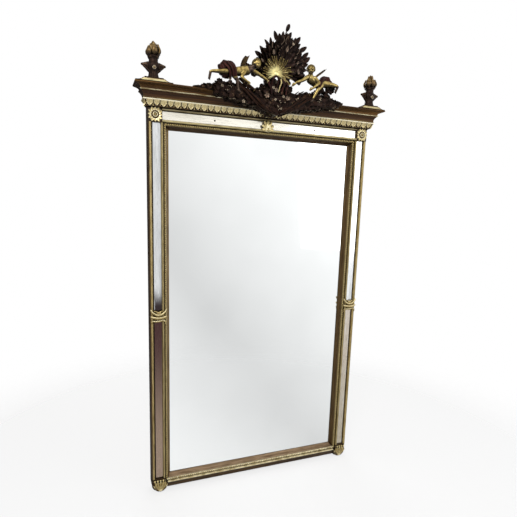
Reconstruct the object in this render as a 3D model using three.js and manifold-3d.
// Pier mirror with a mirror-bordered gilt frame, a cornice with two urn finials and a carved cresting.
// Millimetres, +Z up. The front looks along -Y. While the pieces are made, X = 0 is the middle of the
// mirror, Y = 0 the front of the glass and Z = 0 the lower edge of the sight opening; the last lines
// move the whole so that its feet stand on Z = 0 and it is centred on X and Y.
import * as THREE from 'three';
import { mergeVertices } from 'three/addons/utils/BufferGeometryUtils.js';
import Module from 'manifold-3d';

const wasm = await Module();
wasm.setup();

// ---------------------------------------------------------------- driving sizes
const GAP = 0.3; // clearance between pieces that touch

const SIGHT_WIDTH = 880; // visible glass
const SIGHT_HEIGHT = 1580;
const PLATE_THICKNESS = 6;
const PLATE_OVERLAP = 12; // how far the plate runs behind the sight moulding

// Widths across a stile, from the sight edge outwards
const HOLLOW_WIDTH = 15;
const BEAD_WIDTH = 9;
const GROOVE_WIDTH = 2;
const INNER_FILLET_WIDTH = 11;
const STRIP_WIDTH = 32;
const SHADOW_WIDTH = 5;
const OUTER_FILLET_WIDTH = 14;

// Depths, measured from the front of the glass
const CARCASS_FRONT = 20; // front face of the wooden carcass
const CARCASS_BACK = 34; // back of the stiles, which lies on the wall
const RAIL_RECESS = 14; // how much thinner the top rail is at its back
const FILLET_RISE = 14; // how far the fillets stand in front of the carcass
const STRIP_THICKNESS = 4;
const SIGHT_LIP = 3; // thickness of the sight moulding at the glass
const BEAD_SEAT = 2; // how far the bead row's seat stands in front of the carcass
const BEAD_RISE = 7;

// Lower rail and feet
const LOWER_RAIL_FACE = 60; // from the sight edge down
const LOWER_FILLET_HEIGHT = 6;
const LOWER_COVE_DEPTH = 11;
const FOOT_DROP = 74; // from the sight edge down to the floor
const STILE_END_HEIGHT = 30; // height of the stile's rounded end
const FOOT_FLAT = 24; // flat on which each stile stands
const FOOT_WIDTH = 70;
const FOOT_TOP = 6; // the carved foot starts this far under the sight edge
const FOOT_THICKNESS = 22;
const FOOT_LEAF_COUNT = 4;

// Backboard
const BOARD_THICKNESS = 8;
const BOARD_LAP = 20; // how far the board lies in the stiles' back rebate

// Frieze and corner blocks
const UPPER_GAP = 3;
const UPPER_FILLET_WIDTH = 10;
const ROSETTE_BLOCK = 58;
const ROSETTE_BLOCK_RISE = 14;
const ROSETTE_RISE = 7;
const ROSETTE_LOBES = 12;
const PIN_HEAD = 3.4;
const PIN_SHANK = 1.5;
const PIN_HOLE = 2;
const CLASP_WIDTH = 72;
const CLASP_HEIGHT = 60;
const CLASP_THICKNESS = 11;
const CLASP_LOBES = 7;
const CLASP_BLOCK = 36; // width of the block behind the clasp, between the mirror strips

// Ribbon ties at half height
const TIE_CENTRE = 783; // above the sight edge
const TIE_HEIGHT = 72;
const TIE_THICKNESS = 9;
const TIE_BAND = 11;
const TIE_BLOCK_HEIGHT = 40; // block between the strips behind each tie

// Cornice: each projection is counted from the fillets' front plane
const LEAF_HEIGHT = 28;
const LEAF_LOW = 8;
const LEAF_HIGH = 22;
const CAVETTO_HEIGHT = 27;
const CAVETTO_LOW = 19;
const CAVETTO_HIGH = 31;
const ASTRAGAL_HEIGHT = 5;
const ASTRAGAL_OUT = 34;
const CROWN_HEIGHT = 21;
const CROWN_LIP = 56;
const LIP_THICKNESS = 5;
const CAP_THICKNESS = 16;
const RETURN_END = 0; // the side mouldings stop in the plane of the glass

// Finials
const FINIAL_INSET = 20; // from the frame's side in to the finial's axis
const FINIAL_FORWARD = 59; // axis in front of the glass
const PLINTH_BASE_WIDTH = 148;
const PLINTH_BASE_DEPTH = 58;
const PLINTH_TOP_WIDTH = 84;
const PLINTH_TOP_DEPTH = 52;
const PLINTH_HEIGHT = 13;
const URN_FOOT_WIDTH = 76;
const URN_FOOT_DEPTH = 48;
const URN_FOOT_HEIGHT = 4;
const URN_STEM = 19;
const URN_BOWL = 26;
const URN_NECK = 18;
const URN_COLLAR = 23;
const URN_HEIGHT = 88;
const URN_HANDLE_REACH = 48;
const URN_HANDLE_RISE = 0.56; // share of the urn's height
const URN_BOSS = 8;
const URN_BOSS_RISE = 0.45; // share of the urn's height
const FLAME_HEIGHT = 56;
const FLAME_RADIUS = 29;
const FLAME_TONGUES = 6;

// Cresting
const CREST_LEAN = 10; // degrees forwards, from the cornice top up
const CARVING_UNIT = 1; // the figures and outlines below are drawn in this unit
const FOLIAGE_FRONT = 98;
const FOLIAGE_BACK = 56;
const APRON_FRONT = 112;
const SHELL_CENTRE_X = 8;
const SHELL_RISE = 108; // centre above the cornice
const SHELL_RADIUS = 84;
const SHELL_THICKNESS = 24;
const SHELL_FLUTES = 18;
const SPRAY_RADIUS = 150;
const SPRAY_SWELL = 0.06; // how much further the spray reaches on its right and at its top
const SPRAY_X = 24;
const SPRAY_RISE = 104;
const SPRAY_FORWARD = 74;
const LEAF_LENGTH = 64;
const LEAF_HALF_WIDTH = 15;
const LEAF_HALF_THICKNESS = 7;
const BUD_RISE = 283; // tip of the topmost bud above the cornice
const TORCH_RADIUS = 8;
const TORCH_TAPER = 0.62;
const HEAD_HEIGHT = 1.1; // a head's height over its width

// Hangers on the back of the top rail
const HANGER_FROM_SIDE = 200; // from the frame's middle line
const HANGER_BELOW_TOP = 60;
const HANGER_PLATE_WIDTH = 30;
const HANGER_PLATE_HEIGHT = 50;
const HANGER_PLATE_THICKNESS = 2;
const RING_RADIUS = 18;
const RING_WIRE = 2;
const RING_CLEARANCE = 0.6;
const KNUCKLE_RADIUS = 4.4;
const KNUCKLE_LENGTH = 12;
const SIDES_OF_ROUND = 16;
const LIMB_SIDES = 7;
const TURNED_SIDES = 12;

// ---------------------------------------------------------------- derived sizes
const halfSight = SIGHT_WIDTH / 2;
const innerFilletStart = HOLLOW_WIDTH + BEAD_WIDTH + GROOVE_WIDTH;
const stripStart = innerFilletStart + INNER_FILLET_WIDTH + GAP;
const outerFilletStart = stripStart + STRIP_WIDTH + SHADOW_WIDTH;
const stileFace = outerFilletStart + OUTER_FILLET_WIDTH;
const halfFrame = halfSight + stileFace;
const carcassInset = HOLLOW_WIDTH + GAP; // the carcass starts behind the hollow's outer edge
const frontPlane = CARCASS_FRONT + FILLET_RISE; // front of the gilt fillets
const friezeFilletStart = stripStart + STRIP_WIDTH + UPPER_GAP;
const friezeTop = SIGHT_HEIGHT + friezeFilletStart + UPPER_FILLET_WIDTH;
const leafTop = friezeTop + GAP + LEAF_HEIGHT;
const crownBase = leafTop + GAP;
const cavettoTop = crownBase + CAVETTO_HEIGHT;
const astragalTop = cavettoTop + ASTRAGAL_HEIGHT;
const corniceTop = astragalTop + CROWN_HEIGHT;
const capBase = corniceTop - CAP_THICKNESS;
const finialX = halfFrame - FINIAL_INSET;
const stileInner = halfSight + carcassInset;
const stripCentre = halfSight + stripStart + STRIP_WIDTH / 2;
const rosetteInner = halfFrame - ROSETTE_BLOCK;
const rosetteBase = friezeTop - ROSETTE_BLOCK;
const footTop = -FOOT_TOP;
const boardFront = PLATE_THICKNESS + GAP;
const boardEdge = halfSight + PLATE_OVERLAP;

// ---------------------------------------------------------------- finishes
function finish(color, roughness, metalness) {
  return new THREE.MeshStandardMaterial({ color, roughness, metalness, flatShading: true });
}
const gilt = () => finish(0xb59a5a, 0.4, 0.8);
const brightGilt = () => finish(0xe0cc8c, 0.35, 0.85);
const agedGilt = () => finish(0x5a4220, 0.5, 0.5);
const darkWood = () => finish(0x3c2a18, 0.7, 0);
const bareWood = () => finish(0x9a7a50, 0.8, 0);
const silveredGlass = () => finish(0xdfe4e6, 0.05, 1);
const agedMirror = () => finish(0xc8c8c4, 0.15, 0.9);
const darkBronze = () => finish(0x33231c, 0.5, 0.6);
const redDrapery = () => finish(0x4a2220, 0.6, 0.3);
const brass = () => finish(0xb08d4a, 0.35, 1);

// ---------------------------------------------------------------- geometry helpers
// Keeps positions only, merges shared corners, drops flat slivers and turns every face outwards.
function closed(geometry) {
  const bare = geometry.clone();
  bare.deleteAttribute('normal');
  bare.deleteAttribute('uv');
  const merged = mergeVertices(bare, 1e-4);
  const old = merged.index.array;
  const kept = [];
  for (let i = 0; i < old.length; i += 3) {
    const [a, b, c] = [old[i], old[i + 1], old[i + 2]];
    if (a !== b && b !== c && c !== a) kept.push(a, b, c);
  }
  if (signedVolume(merged.attributes.position, kept) < 0) kept.reverse();
  merged.setIndex(kept);
  return merged;
}

function signedVolume(position, index) {
  const [a, b, c] = [new THREE.Vector3(), new THREE.Vector3(), new THREE.Vector3()];
  let sum = 0;
  for (let i = 0; i < index.length; i += 3) {
    a.fromBufferAttribute(position, index[i]);
    b.fromBufferAttribute(position, index[i + 1]);
    c.fromBufferAttribute(position, index[i + 2]);
    sum += a.dot(b.cross(c));
  }
  return sum;
}

function solid(geometry) {
  const body = closed(geometry);
  return new wasm.Manifold(new wasm.Mesh({
    numProp: 3,
    vertProperties: new Float32Array(body.attributes.position.array),
    triVerts: new Uint32Array(body.index.array),
  }));
}

function geometryOf(body) {
  const mesh = body.getMesh();
  const geometry = new THREE.BufferGeometry();
  geometry.setAttribute('position', new THREE.BufferAttribute(new Float32Array(mesh.vertProperties), 3));
  geometry.setIndex(Array.from(mesh.triVerts));
  return geometry;
}

function union(solids) {
  return solids.reduce((sum, next) => sum.add(next));
}

function cutBy(body, tools) {
  return tools.reduce((rest, tool) => rest.subtract(tool), body);
}

// The largest connected piece, so that a cut leaves no loose crumbs.
function mainPiece(body) {
  return body.decompose().reduce((best, next) => (next.volume() > best.volume() ? next : best));
}

function block(x0, x1, y0, y1, z0, z1) {
  const geometry = new THREE.BoxGeometry(x1 - x0, y1 - y0, z1 - z0);
  return geometry.translate((x0 + x1) / 2, (y0 + y1) / 2, (z0 + z1) / 2);
}

// A section swept straight: place(a, b, end) gives the corner for section point (a, b) at end 0 or 1.
function run(section, place, curveSegments = 4) {
  const geometry = new THREE.ExtrudeGeometry(section, { depth: 1, bevelEnabled: false, curveSegments });
  const position = geometry.attributes.position;
  for (let i = 0; i < position.count; i += 1) {
    const corner = place(position.getX(i), position.getY(i), position.getZ(i));
    position.setXYZ(i, ...corner);
  }
  return closed(geometry);
}

// An outline in front elevation (x, z), cut from a board between two planes in front of the glass.
function fretted(outline, forward0, forward1, curveSegments = 4) {
  const place = (x, z, end) => [x, -(forward0 + (forward1 - forward0) * end), z];
  return run(outline, place, curveSegments);
}

function ellipsoid(centre, radii, tilt = 0, around = 8, rings = 6) {
  const geometry = new THREE.SphereGeometry(1, around, rings);
  geometry.scale(...radii);
  geometry.rotateY(-tilt);
  return geometry.translate(...centre);
}

// A limb from one joint to the next, thick at the first and thinner at the second, with round ends.
function limb(from, to, radius0, radius1, around = LIMB_SIDES) {
  const start = new THREE.Vector3(...from);
  const end = new THREE.Vector3(...to);
  const length = start.distanceTo(end);
  const profile = new THREE.Path();
  profile.moveTo(0, -radius0);
  profile.absarc(0, 0, radius0, -Math.PI / 2, 0, false);
  profile.absarc(0, length, radius1, 0, Math.PI / 2, false);
  const points = profile.getPoints(1);
  points[0].x = 0;
  points[points.length - 1].x = 0;
  const geometry = new THREE.LatheGeometry(points, around);
  const turn = new THREE.Quaternion();
  turn.setFromUnitVectors(new THREE.Vector3(0, 1, 0), end.clone().sub(start).normalize());
  geometry.applyQuaternion(turn);
  return geometry.translate(...from);
}

// A turned shape about a vertical axis; the profile runs up from the axis and back to it.
function turned(points, x, forward, base, around = TURNED_SIDES) {
  const profile = points.map(([radius, height]) => new THREE.Vector2(radius, height));
  const geometry = new THREE.LatheGeometry(profile, around);
  geometry.rotateX(Math.PI / 2);
  return geometry.translate(x, -forward, base);
}

// A short cylinder along Y with its front at the given plane.
function stud(x, z, radius, forward0, forward1, around = 10) {
  const geometry = new THREE.CylinderGeometry(radius, radius, forward1 - forward0, around);
  return geometry.translate(x, -(forward0 + forward1) / 2, z);
}

const root = new THREE.Group();

function add(name, body, material) {
  const geometry = body.isBufferGeometry ? closed(body) : geometryOf(body);
  geometry.computeVertexNormals();
  const mesh = new THREE.Mesh(geometry, material);
  mesh.name = name;
  root.add(mesh);
  return mesh;
}

const SIDES = [['left', -1], ['right', 1]];

// ---------------------------------------------------------------- carcass
// The stile's outline in front elevation: straight sides, a rounded lower end with a flat to stand on.
function stileOutline(side) {
  const [inner, outer] = [stileInner, halfFrame];
  const middle = (inner + outer) / 2;
  const half = (outer - inner) / 2;
  const outline = new THREE.Shape();
  outline.moveTo(side * inner, capBase - GAP);
  outline.lineTo(side * inner, -FOOT_DROP + STILE_END_HEIGHT);
  const steps = 5;
  for (let i = 1; i <= steps; i += 1) {
    const angle = (Math.PI / 2) * (i / steps);
    const reach = FOOT_FLAT / 2 + (half - FOOT_FLAT / 2) * Math.cos(angle);
    const height = -FOOT_DROP + STILE_END_HEIGHT * (1 - Math.sin(angle));
    outline.lineTo(side * (middle - reach), height);
  }
  for (let i = steps; i >= 1; i -= 1) {
    const angle = (Math.PI / 2) * (i / steps);
    const reach = FOOT_FLAT / 2 + (half - FOOT_FLAT / 2) * Math.cos(angle);
    const height = -FOOT_DROP + STILE_END_HEIGHT * (1 - Math.sin(angle));
    outline.lineTo(side * (middle + reach), height);
  }
  outline.lineTo(side * outer, -FOOT_DROP + STILE_END_HEIGHT);
  outline.lineTo(side * outer, capBase - GAP);
  return outline;
}

for (const [label, side] of SIDES) {
  const stile = solid(fretted(stileOutline(side), -CARCASS_BACK, CARCASS_FRONT));
  // Rebate at the back inner edge for the backboards
  const rebate = [side * (stileInner - 1), side * (stileInner + BOARD_LAP)].sort((a, b) => a - b);
  const rebateDepth = boardFront - GAP;
  const cut = block(...rebate, rebateDepth, CARCASS_BACK + 1, GAP - PLATE_OVERLAP - BOARD_LAP, capBase);
  add(`stile_${label}`, stile.subtract(solid(cut)), darkWood());
}

const railEnd = stileInner - GAP;
const topRailBack = CARCASS_BACK - RAIL_RECESS;
add('rail_top',
  block(-railEnd, railEnd, -CARCASS_FRONT, topRailBack, SIGHT_HEIGHT + carcassInset, capBase - GAP),
  darkWood());

// The lower rail carries a fillet and a cove on its face, below the bead row.
function lowerRailSection() {
  const section = new THREE.Shape();
  section.moveTo(-CARCASS_BACK, -carcassInset);
  section.lineTo(CARCASS_FRONT, -carcassInset);
  section.lineTo(CARCASS_FRONT, -innerFilletStart);
  section.lineTo(frontPlane, -innerFilletStart - 1);
  section.lineTo(frontPlane, -innerFilletStart - LOWER_FILLET_HEIGHT);
  section.quadraticCurveTo(
    frontPlane - LOWER_COVE_DEPTH, -innerFilletStart - LOWER_FILLET_HEIGHT - 4,
    frontPlane - LOWER_COVE_DEPTH, -LOWER_RAIL_FACE,
  );
  section.lineTo(-CARCASS_BACK, -LOWER_RAIL_FACE);
  return section;
}
add('rail_bottom',
  run(lowerRailSection(), (forward, z, end) => [(2 * end - 1) * railEnd, -forward, z], 5),
  agedGilt());

// ---------------------------------------------------------------- glass and boards
add('mirror_plate',
  block(-boardEdge, boardEdge, 0, PLATE_THICKNESS, -PLATE_OVERLAP, SIGHT_HEIGHT + PLATE_OVERLAP),
  silveredGlass());

const boardHalf = stileInner + BOARD_LAP - GAP;
add('backboard',
  block(-boardHalf, boardHalf, boardFront, boardFront + BOARD_THICKNESS,
    -PLATE_OVERLAP, SIGHT_HEIGHT + PLATE_OVERLAP),
  bareWood());

// ---------------------------------------------------------------- mouldings round the sight opening
// Section points are (distance outside the sight edge, distance in front of the glass).
function sightSection() {
  const seat = CARCASS_FRONT + BEAD_SEAT;
  const outer = innerFilletStart - GAP;
  const section = new THREE.Shape();
  section.moveTo(0, GAP);
  section.lineTo(0, SIGHT_LIP);
  section.quadraticCurveTo(HOLLOW_WIDTH * 0.7, SIGHT_LIP + 1, HOLLOW_WIDTH, seat);
  section.lineTo(outer, seat);
  section.lineTo(outer, CARCASS_FRONT + GAP);
  section.lineTo(HOLLOW_WIDTH, CARCASS_FRONT + GAP);
  section.lineTo(HOLLOW_WIDTH, GAP);
  return section;
}

function beadSection() {
  const seat = CARCASS_FRONT + BEAD_SEAT + GAP;
  const half = (BEAD_WIDTH - GAP) / 2;
  const middle = HOLLOW_WIDTH + GAP / 2 + half;
  const section = new THREE.Shape();
  section.moveTo(middle - half, seat);
  for (let i = 1; i < 6; i += 1) {
    const angle = Math.PI - (Math.PI * i) / 6;
    section.lineTo(middle + half * Math.cos(angle), seat + BEAD_RISE * Math.sin(angle));
  }
  section.lineTo(middle + half, seat);
  return section;
}

// Four mitred lengths round the sight opening, all from one section.
function mitredFrame(section, prefix, material) {
  const play = GAP / 2;
  const upright = (side) => (out, forward, end) => [
    side * (halfSight + out), -forward,
    end > 0.5 ? SIGHT_HEIGHT + out - play : -out + play,
  ];
  const level = (base, sign) => (out, forward, end) => [
    (2 * end - 1) * (halfSight + out - play), -forward, base + sign * out,
  ];
  add(`${prefix}_left`, run(section, upright(-1), 5), material());
  add(`${prefix}_right`, run(section, upright(1), 5), material());
  add(`${prefix}_top`, run(section, level(SIGHT_HEIGHT, 1), 5), material());
  add(`${prefix}_bottom`, run(section, level(0, -1), 5), material());
}
mitredFrame(sightSection(), 'sight_moulding', agedGilt);
mitredFrame(beadSection(), 'bead_row', gilt);

// ---------------------------------------------------------------- gilt fillets
// A half-round fillet on a flat base: section points are (across, forward).
function filletSection(width) {
  const base = CARCASS_FRONT + GAP;
  const shoulder = CARCASS_FRONT + FILLET_RISE * 0.45;
  const section = new THREE.Shape();
  section.moveTo(0, base);
  section.lineTo(0, shoulder);
  for (let i = 1; i < 6; i += 1) {
    const angle = Math.PI - (Math.PI * i) / 6;
    const across = width / 2 + (width / 2) * Math.cos(angle);
    section.lineTo(across, shoulder + (frontPlane - shoulder) * Math.sin(angle));
  }
  section.lineTo(width, shoulder);
  section.lineTo(width, base);
  return section;
}

const uprightLow = footTop + GAP;
for (const [label, side] of SIDES) {
  const inner = (across, forward, end) => [
    side * (halfSight + innerFilletStart + across), -forward,
    end > 0.5 ? rosetteBase - GAP : uprightLow,
  ];
  const outer = (across, forward, end) => [
    side * (halfSight + outerFilletStart + across), -forward,
    end > 0.5 ? rosetteBase - GAP : uprightLow,
  ];
  add(`inner_fillet_${label}`, run(filletSection(INNER_FILLET_WIDTH), inner), gilt());
  add(`outer_fillet_${label}`, run(filletSection(OUTER_FILLET_WIDTH), outer), brightGilt());
}
const friezeHalf = rosetteInner - GAP;
const friezeRun = (start) => (across, forward, end) => [
  (2 * end - 1) * friezeHalf, -forward, SIGHT_HEIGHT + start + across,
];
add('frieze_fillet_lower', run(filletSection(INNER_FILLET_WIDTH), friezeRun(innerFilletStart)), gilt());
add('frieze_fillet_upper', run(filletSection(UPPER_FILLET_WIDTH), friezeRun(friezeFilletStart)), gilt());

// ---------------------------------------------------------------- mirror strips
const stripFront = CARCASS_FRONT + GAP + STRIP_THICKNESS;
const tieBlockLow = TIE_CENTRE - TIE_BLOCK_HEIGHT / 2;
const tieBlockHigh = TIE_CENTRE + TIE_BLOCK_HEIGHT / 2;
for (const [label, side] of SIDES) {
  const x = [side * (halfSight + stripStart), side * (halfSight + stripStart + STRIP_WIDTH)];
  x.sort((a, b) => a - b);
  const y = [-stripFront, -CARCASS_FRONT - GAP];
  add(`stile_mirror_lower_${label}`, block(...x, ...y, uprightLow, tieBlockLow - GAP), agedMirror());
  add(`stile_mirror_upper_${label}`, block(...x, ...y, tieBlockHigh + GAP, rosetteBase - GAP), agedMirror());
}

const friezeStripLow = SIGHT_HEIGHT + stripStart;
const pinX = (friezeHalf + CLASP_BLOCK / 2) / 2;
const pinZ = friezeStripLow + STRIP_WIDTH / 2;
for (const [label, side] of SIDES) {
  const x = [side * (CLASP_BLOCK / 2 + GAP), side * friezeHalf].sort((a, b) => a - b);
  const strip = block(...x, -stripFront, -CARCASS_FRONT - GAP, friezeStripLow, friezeStripLow + STRIP_WIDTH);
  const hole = stud(side * pinX, pinZ, PIN_HOLE, CARCASS_FRONT, stripFront + 1);
  add(`frieze_mirror_${label}`, solid(strip).subtract(solid(hole)), agedMirror());
  const shank = solid(stud(side * pinX, pinZ, PIN_SHANK, CARCASS_FRONT + GAP, stripFront + 1));
  const head = ellipsoid([side * pinX, -stripFront - GAP, pinZ], [PIN_HEAD, 2, PIN_HEAD], 0, 10, 6);
  const front = block(-halfFrame, halfFrame, -2 * frontPlane, -stripFront - GAP, 0, 2 * SIGHT_HEIGHT);
  add(`frieze_pin_${label}`, solid(head).intersect(solid(front)).add(shank), darkBronze());
}

// ---------------------------------------------------------------- carved corner blocks
// A square block with a flower of pointed lobes, a sunk ring and a centre boss.
function rosette(x, z) {
  const half = ROSETTE_BLOCK / 2;
  const face = CARCASS_FRONT + ROSETTE_BLOCK_RISE;
  const base = block(x - half, x + half, -face, -CARCASS_FRONT - GAP, z - half, z + half);
  const flower = new THREE.Shape();
  for (let i = 0; i < 2 * ROSETTE_LOBES; i += 1) {
    const angle = (Math.PI * i) / ROSETTE_LOBES;
    const square = 1 / Math.max(Math.abs(Math.cos(angle)), Math.abs(Math.sin(angle)));
    const reach = (half - 1) * (i % 2 ? 0.74 : Math.min(square, 1.3)) * (i % 2 ? square ** 0.5 : 1);
    const clip = Math.min(reach, (half - 0.5) * square);
    const point = [x + clip * Math.cos(angle), z + clip * Math.sin(angle)];
    if (i) flower.lineTo(...point);
    else flower.moveTo(...point);
  }
  const petals = solid(fretted(flower, face - 2, face + ROSETTE_RISE));
  const ringCut = solid(stud(x, z, half * 0.52, face - 3, face + ROSETTE_RISE + 1, 16));
  const ringCore = solid(stud(x, z, half * 0.36, face - 4, face + ROSETTE_RISE + 2, 12));
  const boss = solid(ellipsoid([x, -face - 2, z], [half * 0.3, ROSETTE_RISE, half * 0.3], 0, 10, 6));
  return solid(base).add(petals).subtract(ringCut.subtract(ringCore)).add(boss);
}
for (const [label, side] of SIDES) {
  const x = side * (halfFrame - ROSETTE_BLOCK / 2);
  add(`corner_rosette_${label}`, rosette(x, rosetteBase + ROSETTE_BLOCK / 2), brightGilt());
}

// ---------------------------------------------------------------- carved feet
// A block with a half-round lower end, leaf tips along its top and a round boss below them.
function foot(x) {
  const half = FOOT_WIDTH / 2;
  const centre = -FOOT_DROP + 2 + half;
  const outline = new THREE.Shape();
  outline.moveTo(x - half, footTop - GAP);
  outline.lineTo(x - half, centre);
  outline.absarc(x, centre, half, Math.PI, 2 * Math.PI, false);
  outline.lineTo(x + half, footTop - GAP);
  const back = CARCASS_FRONT + GAP;
  const body = solid(fretted(outline, back, back + FOOT_THICKNESS - 4, 8));
  const parts = [body];
  for (let i = 0; i < FOOT_LEAF_COUNT; i += 1) {
    const across = ((i + 0.5) / FOOT_LEAF_COUNT - 0.5) * FOOT_WIDTH * 0.92;
    const tip = [x + across, -(back + FOOT_THICKNESS - 5), footTop - 12];
    parts.push(solid(ellipsoid(tip, [7, 5, 11])));
  }
  const boss = [x, -(back + FOOT_THICKNESS - 5), centre - 6];
  parts.push(solid(ellipsoid(boss, [half * 0.72, 6, half * 0.62], 0, 12, 6)));
  const corner = halfSight + innerFilletStart;
  const mouldingRoom = block(-corner, corner, -2 * frontPlane, 0, -innerFilletStart, SIGHT_HEIGHT);
  return union(parts).subtract(solid(mouldingRoom));
}
for (const [label, side] of SIDES) add(`foot_${label}`, foot(side * (stripCentre - 3)), gilt());

// ---------------------------------------------------------------- ribbon ties
// Three bands with a knot, on a block that closes the joint between the mirror strips.
function ribbonTie(side) {
  const inner = halfSight + carcassInset + 2;
  const outer = halfFrame - 1;
  const middle = (inner + outer) / 2;
  const half = (outer - inner) / 2;
  const back = frontPlane + GAP;
  const low = TIE_CENTRE - TIE_HEIGHT / 2;
  const high = TIE_CENTRE + TIE_HEIGHT / 2;
  const band = (endHeight, midHeight) => {
    const outline = new THREE.Shape();
    outline.moveTo(side * inner, endHeight - TIE_BAND / 2);
    outline.quadraticCurveTo(side * middle, midHeight - TIE_BAND / 2, side * outer, endHeight - TIE_BAND / 2);
    outline.lineTo(side * outer, endHeight + TIE_BAND / 2);
    outline.quadraticCurveTo(side * middle, midHeight + TIE_BAND / 2, side * inner, endHeight + TIE_BAND / 2);
    return solid(fretted(outline, back, back + TIE_THICKNESS - 3, 6));
  };
  const knot = ellipsoid([side * middle, -back, TIE_CENTRE + 4], [13, TIE_THICKNESS, 15], 0, 12, 8);
  const spine = block(...[side * (middle - 7), side * (middle + 7)].sort((a, b) => a - b),
    -back - TIE_THICKNESS + 3, -back, low + 10, high - 12);
  const stripX = [side * (halfSight + stripStart), side * (halfSight + stripStart + STRIP_WIDTH)];
  stripX.sort((a, b) => a - b);
  const plug = block(...stripX, -back - 1, -CARCASS_FRONT - GAP, tieBlockLow, tieBlockHigh);
  const front = block(-halfFrame * 2, halfFrame * 2, -2 * back, -back, low - TIE_HEIGHT, high + TIE_HEIGHT);
  return solid(knot).intersect(solid(front))
    .add(band(high - TIE_BAND / 2, TIE_CENTRE - 22))
    .add(band(TIE_CENTRE, TIE_CENTRE))
    .add(band(low + TIE_BAND / 2, TIE_CENTRE - 4))
    .add(solid(spine))
    .add(solid(plug));
}
for (const [label, side] of SIDES) add(`ribbon_tie_${label}`, ribbonTie(side), brightGilt());

// ---------------------------------------------------------------- clasp in the middle of the frieze
// A palmette of lobes that fan out upwards from the lower edge.
function clasp() {
  const back = frontPlane + GAP;
  const low = friezeTop - CLASP_HEIGHT;
  const parts = [];
  for (let i = 0; i < CLASP_LOBES; i += 1) {
    const spread = (i / (CLASP_LOBES - 1) - 0.5) * Math.PI * 1.05;
    const reach = CLASP_HEIGHT * (0.72 + 0.2 * Math.cos(spread));
    const tip = [0.72 * reach * Math.sin(spread), -back - 1, low + 8 + reach * Math.cos(spread) * 0.86];
    parts.push(solid(limb([0, -back, low + 12], tip, 5, 6.4)));
  }
  parts.push(solid(ellipsoid([0, -back, low + 12], [13, CLASP_THICKNESS, 12], 0, 10, 6)));
  const front = block(-CLASP_WIDTH / 2, CLASP_WIDTH / 2, -2 * back, -back, low, friezeTop);
  const plug = block(-CLASP_BLOCK / 2, CLASP_BLOCK / 2, -back - 3, -CARCASS_FRONT - GAP,
    friezeStripLow, friezeStripLow + STRIP_WIDTH);
  return union(parts).intersect(solid(front)).add(solid(plug));
}
add('centre_clasp', clasp(), brightGilt());

// ---------------------------------------------------------------- cornice
// Section points are (projection from the front plane, height). The front length and the two returns
// share each section and meet in a mitre.
const carcassProjection = CARCASS_FRONT + GAP - frontPlane;

function leafSection(back) {
  const section = new THREE.Shape();
  section.moveTo(back, friezeTop + GAP);
  section.lineTo(LEAF_LOW, friezeTop + GAP);
  section.quadraticCurveTo(LEAF_LOW + 3, leafTop - LEAF_HEIGHT * 0.35, LEAF_HIGH, leafTop - 6);
  section.lineTo(LEAF_HIGH, leafTop);
  section.lineTo(back, leafTop);
  return section;
}

function crownSection(back, grow = 0) {
  const section = new THREE.Shape();
  section.moveTo(back, crownBase - grow);
  section.lineTo(CAVETTO_LOW + grow, crownBase - grow);
  section.quadraticCurveTo(
    CAVETTO_LOW + 3 + grow, cavettoTop - CAVETTO_HEIGHT * 0.35, CAVETTO_HIGH + grow, cavettoTop,
  );
  section.lineTo(ASTRAGAL_OUT + grow, cavettoTop + 1);
  section.lineTo(ASTRAGAL_OUT + grow, astragalTop - 1);
  section.lineTo(CAVETTO_HIGH + grow, astragalTop);
  section.quadraticCurveTo(
    CAVETTO_HIGH + 5 + grow, corniceTop - LIP_THICKNESS - 2, CROWN_LIP + grow, corniceTop - LIP_THICKNESS,
  );
  section.lineTo(CROWN_LIP + grow, corniceTop + grow);
  section.lineTo(back, corniceTop + grow);
  return section;
}

// The room of a return: everything beside the frame and outside the mitre line.
function returnRoom(side) {
  const reach = 2 * CROWN_LIP;
  const plan = new THREE.Shape();
  plan.moveTo(side * halfFrame, -CARCASS_BACK);
  plan.lineTo(side * halfFrame, frontPlane);
  plan.lineTo(side * (halfFrame + reach), frontPlane + reach);
  plan.lineTo(side * (halfFrame + reach), -CARCASS_BACK);
  return solid(run(plan, (x, forward, end) => [x, -forward, end * 2 * corniceTop]));
}

function frontLength(section) {
  const place = (out, z, end) => [(2 * end - 1) * (halfFrame + CROWN_LIP + 1), -(frontPlane + out), z];
  return cutBy(solid(run(section, place)), [returnRoom(-1), returnRoom(1)]);
}

function sideLength(section, side) {
  const place = (out, z, end) => [
    side * (halfFrame + out), end > 0.5 ? RETURN_END : -(frontPlane + out - GAP), z,
  ];
  return run(section, place);
}

add('leaf_moulding_front', frontLength(leafSection(carcassProjection)), gilt());
add('crown_front', frontLength(crownSection(carcassProjection)), agedGilt());
for (const [label, side] of SIDES) {
  add(`leaf_moulding_${label}`, sideLength(leafSection(GAP), side), gilt());
  add(`crown_${label}`, sideLength(crownSection(GAP), side), agedGilt());
}
add('cornice_cap',
  block(-halfFrame, halfFrame, -CARCASS_FRONT, CARCASS_BACK, capBase, corniceTop), darkWood());

// ---------------------------------------------------------------- finials
function plinth(x) {
  const base = corniceTop + GAP;
  const geometry = new THREE.BoxGeometry(1, 1, 1);
  const position = geometry.attributes.position;
  for (let i = 0; i < position.count; i += 1) {
    const top = position.getZ(i) > 0;
    const width = top ? PLINTH_TOP_WIDTH : PLINTH_BASE_WIDTH;
    const depth = top ? PLINTH_TOP_DEPTH : PLINTH_BASE_DEPTH;
    const [y, z] = [position.getY(i) * depth - FINIAL_FORWARD, top ? base + PLINTH_HEIGHT : base];
    position.setXYZ(i, x + position.getX(i) * width, y, z);
  }
  return geometry;
}

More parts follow.
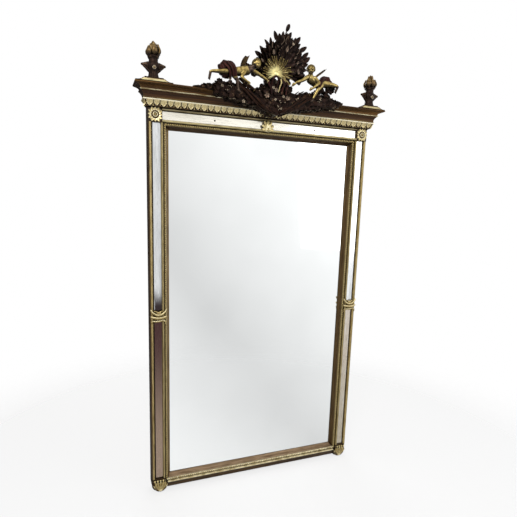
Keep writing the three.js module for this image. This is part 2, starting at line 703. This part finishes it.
const urnBase = corniceTop + GAP + PLINTH_HEIGHT + GAP;
function urn(x) {
  const height = (share) => URN_HEIGHT * share;
  const body = turned([
    [0, 1], [URN_FOOT_DEPTH / 2, 1], [URN_STEM + 3, height(0.16)], [URN_STEM, height(0.3)],
    [URN_STEM + 3, height(0.42)], [URN_BOWL, height(0.52)], [URN_BOWL, height(0.6)],
    [URN_NECK + 3, height(0.7)], [URN_NECK, height(0.82)], [URN_NECK + 1, height(0.9)],
    [URN_COLLAR, height(0.94)], [URN_COLLAR, height(0.99)], [0, height(1)],
  ], x, FINIAL_FORWARD, urnBase);
  const [halfWidth, halfDepth] = [URN_FOOT_WIDTH / 2, URN_FOOT_DEPTH / 2];
  const slab = block(x - halfWidth, x + halfWidth, -FINIAL_FORWARD - halfDepth, -FINIAL_FORWARD + halfDepth,
    urnBase, urnBase + URN_FOOT_HEIGHT);
  const parts = [solid(body), solid(slab)];
  for (const side of [-1, 1]) {
    const [root0, tip] = [[x + side * URN_STEM, height(0.48)], [x + side * (URN_HANDLE_REACH - 3), height(URN_HANDLE_RISE)]];
    parts.push(solid(limb([root0[0], -FINIAL_FORWARD, urnBase + root0[1]],
      [tip[0], -FINIAL_FORWARD, urnBase + tip[1]], 9, 3)));
  }
  for (const facing of [-1, 1]) {
    const bossAt = [x, -FINIAL_FORWARD + facing * (URN_BOWL - 1), urnBase + height(URN_BOSS_RISE)];
    parts.push(solid(ellipsoid(bossAt, [URN_BOSS, 5, URN_BOSS], 0, 10, 6)));
  }
  return union(parts);
}

function flame(x) {
  const base = urnBase + URN_HEIGHT + GAP;
  const core = turned([
    [0, 0], [FLAME_RADIUS * 0.5, 0], [FLAME_RADIUS, FLAME_HEIGHT * 0.32], [FLAME_RADIUS * 0.7, FLAME_HEIGHT * 0.6],
    [FLAME_RADIUS * 0.3, FLAME_HEIGHT * 0.85], [0, FLAME_HEIGHT],
  ], x, FINIAL_FORWARD, base);
  const parts = [solid(core)];
  for (let i = 0; i < FLAME_TONGUES; i += 1) {
    const angle = (2 * Math.PI * i) / FLAME_TONGUES;
    const reach = FLAME_RADIUS;
    const at = (radius, rise) => [
      x + radius * Math.cos(angle), -FINIAL_FORWARD + radius * Math.sin(angle), base + rise * FLAME_HEIGHT,
    ];
    parts.push(solid(limb(at(reach * 0.6, 0.2), at(reach - 2, 0.66), 7, 2.5, 5)));
  }
  return union(parts);
}

for (const [label, side] of SIDES) {
  const x = side * finialX;
  add(`finial_plinth_${label}`, plinth(x), agedGilt());
  add(`finial_urn_${label}`, urn(x), darkBronze());
  add(`finial_flame_${label}`, flame(x), gilt());
}

// ---------------------------------------------------------------- cresting
// Cresting points are (x, height above the cornice, distance in front of the leaning plane).
const leanAngle = THREE.MathUtils.degToRad(CREST_LEAN);
function crest(x, rise, forward) {
  return [x, -forward - rise * Math.sin(leanAngle), corniceTop + rise];
}

// The same for a point that is drawn in carving units.
function carved(point) {
  return crest(...point.map((value) => value * CARVING_UNIT));
}

function leanForward(geometry) {
  const position = geometry.attributes.position;
  for (let i = 0; i < position.count; i += 1) {
    const rise = Math.max(position.getZ(i) - corniceTop, 0);
    position.setY(i, position.getY(i) - rise * Math.sin(leanAngle));
  }
  return geometry;
}

function outlineOf(points) {
  const shape = new THREE.Shape();
  points.forEach(([x, rise], i) => {
    const corner = [x * CARVING_UNIT, corniceTop + rise * CARVING_UNIT];
    if (i) shape.lineTo(...corner);
    else shape.moveTo(...corner);
  });
  return shape;
}

// Each cherub: joints as (x, height above the cornice, forward), then limbs as pairs with radii.
const LEFT_CHERUB = {
  head: [-92, 110, 92],
  headRadius: 21,
  neck: [-106, 95, 86],
  chest: [-126, 84, 84],
  hips: [-188, 72, 80],
  limbs: [
    [[-116, 88, 92], [-76, 70, 104], 9, 7],
    [[-76, 70, 104], [-32, 54, 104], 7, 5],
    [[-132, 84, 100], [-150, 58, 108], 9, 7],
    [[-150, 58, 108], [-110, 44, 112], 7, 5],
    [[-196, 72, 84], [-286, 68, 92], 14, 8],
    [[-286, 68, 92], [-292, 30, 92], 8, 5],
    [[-192, 66, 92], [-168, 42, 106], 13, 8],
    [[-168, 42, 106], [-160, 4, 106], 8, 5],
  ],
  wing: [[-134, 96, 70], [-160, 138, 66], [-124, 146, 66]],
};
const RIGHT_CHERUB = {
  head: [161, 122, 92],
  headRadius: 20,
  neck: [158, 104, 86],
  chest: [166, 86, 84],
  hips: [216, 68, 80],
  limbs: [
    [[152, 94, 92], [122, 72, 102], 9, 7],
    [[122, 72, 102], [84, 58, 104], 7, 5],
    [[182, 90, 96], [214, 72, 104], 9, 7],
    [[214, 72, 104], [176, 48, 110], 7, 5],
    [[228, 74, 88], [304, 72, 96], 14, 9],
    [[304, 72, 96], [286, 42, 94], 8, 6],
    [[222, 64, 92], [202, 36, 106], 13, 8],
    [[202, 36, 106], [186, 2, 106], 8, 5],
  ],
  wing: [[186, 98, 70], [240, 142, 66], [206, 124, 66]],
};

function cherub(plan, grow = 0) {
  const thick = (radius) => radius * CARVING_UNIT + grow;
  const bone = ([from, to, r0, r1]) => solid(limb(carved(from), carved(to), thick(r0), thick(r1)));
  const { head, headRadius, neck, chest, hips, limbs, wing } = plan;
  const skull = [thick(headRadius), thick(headRadius), thick(headRadius * HEAD_HEIGHT)];
  const parts = limbs.map(bone);
  parts.push(solid(ellipsoid(carved(head), skull, 0, 10, 8)));
  parts.push(bone([neck, chest, 10, 15]));
  parts.push(bone([chest, hips, 18, 17]));
  parts.push(bone([wing[0], wing[1], 7, 3]));
  parts.push(bone([wing[0], wing[2], 9, 4]));
  return union(parts);
}

const TORCHES = [
  [[-150, 44, 92], [20, -52, 112]],
  [[170, 24, 94], [20, -52, 112]],
];
function torches(grow = 0) {
  return union(TORCHES.map(([tail, tip]) => solid(
    limb(carved(tail), carved(tip), TORCH_RADIUS * TORCH_TAPER + grow, TORCH_RADIUS + grow),
  )));
}

// A domed shell with flutes that spread from a point under its middle.
function shell(grow = 0) {
  const geometry = new THREE.SphereGeometry(1, 2 * SHELL_FLUTES, 8);
  geometry.rotateX(Math.PI / 2);
  const position = geometry.attributes.position;
  const radius = SHELL_RADIUS + grow;
  for (let i = 0; i < position.count; i += 1) {
    const [x, y, z] = [position.getX(i), position.getY(i), position.getZ(i)];
    const angle = Math.atan2(z, x);
    const flute = 1 + 0.05 * Math.cos(SHELL_FLUTES * angle);
    const length = Math.sin(angle) < -0.55 ? 0.62 : 1;
    position.setXYZ(i, x * radius * flute * length, y * (SHELL_THICKNESS + grow), z * radius * flute * length);
  }
  const [x, y, z] = crest(SHELL_CENTRE_X, SHELL_RISE, SPRAY_FORWARD + 14);
  return solid(geometry.rotateX(leanAngle).translate(x, y, z));
}

// Rows of pointed leaves that fan out over the shell, and a bud on a stem at the top.
const SPRAY_ROWS = [
  { count: 13, reach: 1, from: -14, to: 192 },
  { count: 9, reach: 0.8, from: -4, to: 186 },
];
function spray() {
  const leaves = [];
  const centre = [SPRAY_X, SPRAY_RISE];
  for (const { count, reach, from, to } of SPRAY_ROWS) {
    for (let i = 0; i < count; i += 1) {
      const angle = THREE.MathUtils.degToRad(from + ((to - from) * i) / (count - 1));
      const wide = 1 - SPRAY_SWELL + SPRAY_SWELL * (Math.cos(angle) + Math.sin(angle));
      const middle = (SPRAY_RADIUS * wide * reach) - LEAF_LENGTH / 2;
      const at = crest(centre[0] + middle * Math.cos(angle), centre[1] + middle * Math.sin(angle),
        SPRAY_FORWARD + 8 * (1 - reach));
      const radii = [LEAF_LENGTH / 2, LEAF_HALF_THICKNESS, LEAF_HALF_WIDTH];
      leaves.push(solid(ellipsoid(at, radii, angle, 6, 4)));
    }
  }
  const bodyReach = SPRAY_RADIUS * 0.8;
  const plate = new THREE.Shape();
  plate.absarc(centre[0], corniceTop + centre[1], bodyReach, -0.1, Math.PI + 0.1, false);
  const middlePlate = leanForward(fretted(plate, SPRAY_FORWARD - 9, SPRAY_FORWARD + 7, 8));
  const stemLow = crest(SPRAY_X, SPRAY_RISE + bodyReach * 0.6, SPRAY_FORWARD);
  const budLow = crest(SPRAY_X + 12, BUD_RISE - 34, SPRAY_FORWARD);
  const budHigh = crest(SPRAY_X + 20, BUD_RISE - 8, SPRAY_FORWARD);
  return union(leaves)
    .add(solid(middlePlate))
    .add(solid(limb(stemLow, budLow, 6, 3.5)))
    .add(solid(limb(budLow, budHigh, 6, 7)));
}

function drapery(grow = 0) {
  const folds = [
    [[-218, 84, 80], [36, 16, 32]],
    [[246, 86, 78], [32, 14, 25]],
  ];
  const thick = (radius) => radius * CARVING_UNIT + grow;
  return folds.map(([at, radii]) => solid(ellipsoid(carved(at), radii.map(thick), 0, 12, 8)));
}

// The carved base: a leafy bank on the cornice and an apron of flowers that hangs over its front.
const BANK_OUTLINE = [
  [-341, 0], [-330, 9], [-300, 13], [-284, 15], [-272, 32], [-256, 46], [-200, 52], [-152, 44], [-122, 24],
  [-108, 13], [-84, 9], [-66, 12], [-54, 42], [-34, 66], [46, 66], [68, 42], [80, 26], [102, 25], [124, 38],
  [150, 46], [196, 48], [232, 44], [264, 44], [284, 28], [302, 22], [326, 12], [344, 0],
];
const APRON_OUTLINE = [
  [-276, 10], [-262, -20], [-214, -30], [-160, -42], [-112, -52], [-64, -70], [-20, -84], [6, -92], [30, -84],
  [78, -66], [128, -52], [186, -42], [246, -28], [318, -18], [336, 6], [220, 24], [150, 18], [98, 0],
  [58, 4], [44, 48], [-34, 48], [-52, 4], [-84, -4], [-122, 4], [-164, 22], [-230, 24],
];

const cherubs = { left: cherub(LEFT_CHERUB), right: cherub(RIGHT_CHERUB) };
const cherubRoom = cherub(LEFT_CHERUB, GAP).add(cherub(RIGHT_CHERUB, GAP));
const torchRoom = torches(GAP);
const shellBody = mainPiece(cutBy(shell(), [cherubRoom, torchRoom]));
const shellRoom = shell(GAP);
const sprayWhole = spray();
const sprayBody = mainPiece(cutBy(sprayWhole, [shellRoom, cherubRoom]));
const sprayRoom = solid(geometryOf(sprayWhole).translate(0, -GAP, 0)).add(sprayWhole);

const corniceRoom = union([
  solid(block(-2 * halfFrame, 2 * halfFrame, -frontPlane - GAP, CARCASS_BACK + 1, 0, corniceTop + GAP)),
  solid(run(crownSection(carcassProjection, GAP),
    (out, z, end) => [(2 * end - 1) * 2 * halfFrame, -(frontPlane + out), z])),
  solid(run(leafSectionRoom(), (out, z, end) => [(2 * end - 1) * 2 * halfFrame, -(frontPlane + out), z])),
]);
function leafSectionRoom() {
  const room = new THREE.Shape();
  room.moveTo(-1, 0);
  room.lineTo(LEAF_HIGH + GAP, 0);
  room.lineTo(LEAF_HIGH + GAP, crownBase);
  room.lineTo(-1, crownBase);
  return room;
}

const draperyPieces = drapery().map((fold) => mainPiece(cutBy(fold, [cherubRoom, corniceRoom, shellRoom])));
const draperyRoom = union(drapery(GAP));

const bank = solid(leanForward(fretted(outlineOf(BANK_OUTLINE), FOLIAGE_BACK, FOLIAGE_FRONT)));
const apron = solid(fretted(outlineOf(APRON_OUTLINE), frontPlane, APRON_FRONT));
const foliage = mainPiece(cutBy(bank.add(apron),
  [corniceRoom, cherubRoom, torchRoom, shellRoom, sprayRoom, draperyRoom]));

add('crest_foliage', foliage, darkBronze());
add('crest_shell', shellBody, brightGilt());
add('crest_spray', sprayBody, darkBronze());
add('putto_left', cherubs.left, gilt());
add('putto_right', cherubs.right, gilt());
SIDES.forEach(([label], i) => add(`crest_drapery_${label}`, draperyPieces[i], redDrapery()));
add('crest_torches', torches(), darkBronze());

// ---------------------------------------------------------------- hangers
// A screwed plate with a knuckle; the ring's straight side turns in the knuckle.
const hangerZ = capBase - HANGER_BELOW_TOP;
const plateBack = topRailBack + GAP + HANGER_PLATE_THICKNESS;
const ringAxisY = plateBack + KNUCKLE_RADIUS - 0.6;
for (const [label, side] of SIDES) {
  const x = side * HANGER_FROM_SIDE;
  const halfPlate = HANGER_PLATE_WIDTH / 2;
  const leaf = block(x - halfPlate, x + halfPlate, topRailBack + GAP, plateBack, hangerZ - 6,
    hangerZ - 6 + HANGER_PLATE_HEIGHT);
  const along = (radius, length) => {
    const bar = new THREE.CylinderGeometry(radius, radius, length, SIDES_OF_ROUND);
    return bar.rotateZ(Math.PI / 2).translate(x, ringAxisY, hangerZ);
  };
  const bore = solid(along(RING_WIRE + RING_CLEARANCE, KNUCKLE_LENGTH + 2));
  const plate = solid(leaf).add(solid(along(KNUCKLE_RADIUS, KNUCKLE_LENGTH))).subtract(bore);
  add(`hanger_plate_${label}`, plate, brass());

  // A closed D: a straight bar through the knuckle and a bow below it.
  const bow = new THREE.CurvePath();
  const half = RING_RADIUS;
  const start = new THREE.Vector3(x - half, ringAxisY, hangerZ);
  const turnLeft = new THREE.Vector3(x - half, ringAxisY, hangerZ - half * 2.2);
  const turnRight = new THREE.Vector3(x + half, ringAxisY, hangerZ - half * 2.2);
  const end = new THREE.Vector3(x + half, ringAxisY, hangerZ);
  bow.add(new THREE.CubicBezierCurve3(start, turnLeft, turnRight, end));
  const wire = new THREE.Shape();
  wire.absarc(0, 0, RING_WIRE, 0, 2 * Math.PI, false);
  const bowWire = new THREE.ExtrudeGeometry(wire, {
    steps: 14, curveSegments: 4, bevelEnabled: false, extrudePath: bow.curves[0],
  });
  const bar = new THREE.CylinderGeometry(RING_WIRE, RING_WIRE, 2 * half + 1.5 * RING_WIRE, SIDES_OF_ROUND);
  bar.rotateZ(Math.PI / 2).translate(x, ringAxisY, hangerZ);
  add(`hanger_ring_${label}`, solid(bowWire).add(solid(bar)), brass());
}

// ---------------------------------------------------------------- place the whole in its own frame
root.updateMatrixWorld(true);
const bounds = new THREE.Box3().setFromObject(root);
root.position.set(0, -(bounds.min.y + bounds.max.y) / 2, -bounds.min.z);

export default root;
